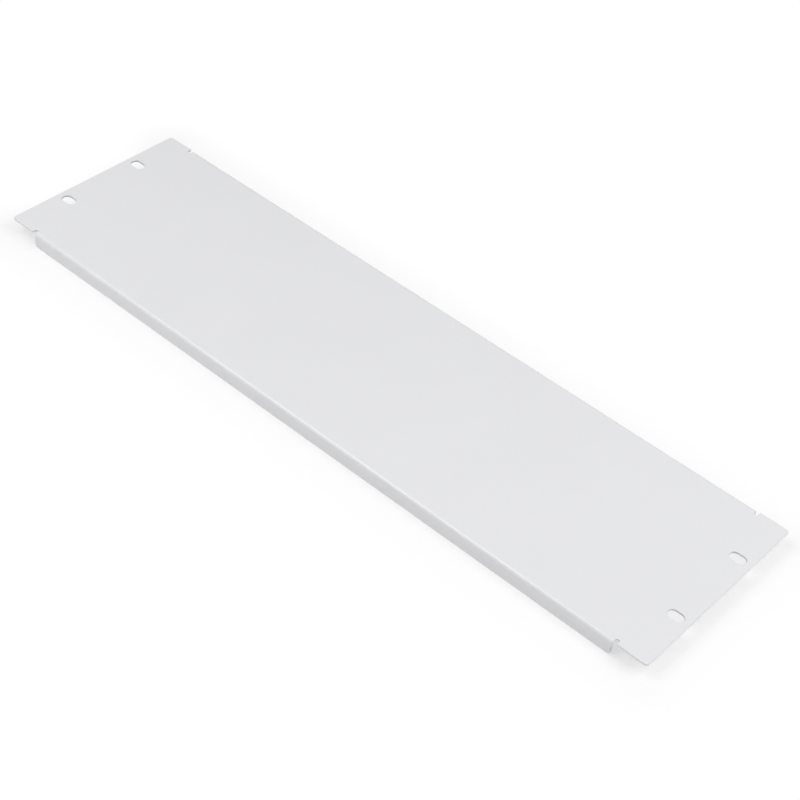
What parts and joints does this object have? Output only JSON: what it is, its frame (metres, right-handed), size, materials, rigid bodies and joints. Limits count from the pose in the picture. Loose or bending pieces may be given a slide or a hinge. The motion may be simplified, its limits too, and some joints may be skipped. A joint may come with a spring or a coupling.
{
  "type": "rack blanking panel",
  "caption": "Flat flanged steel panel with slotted ears that closes off an empty space in a 19 inch rack.",
  "frame": {"origin": "centre of the plane that the free edges of the two flanges lie in, with the panel lying face up", "axes": "+X along the panel from ear to ear, +Y up the rack across the panel, +Z out of the front face"},
  "size_m": [0.4826, 0.1324, 0.01],
  "materials": {
    "powder_coat": "satin light grey powder coat with a fine orange-peel texture"
  },
  "bodies": {
    "root": {"blanking_panel": "powder_coat"}
  },
  "joints": []
}
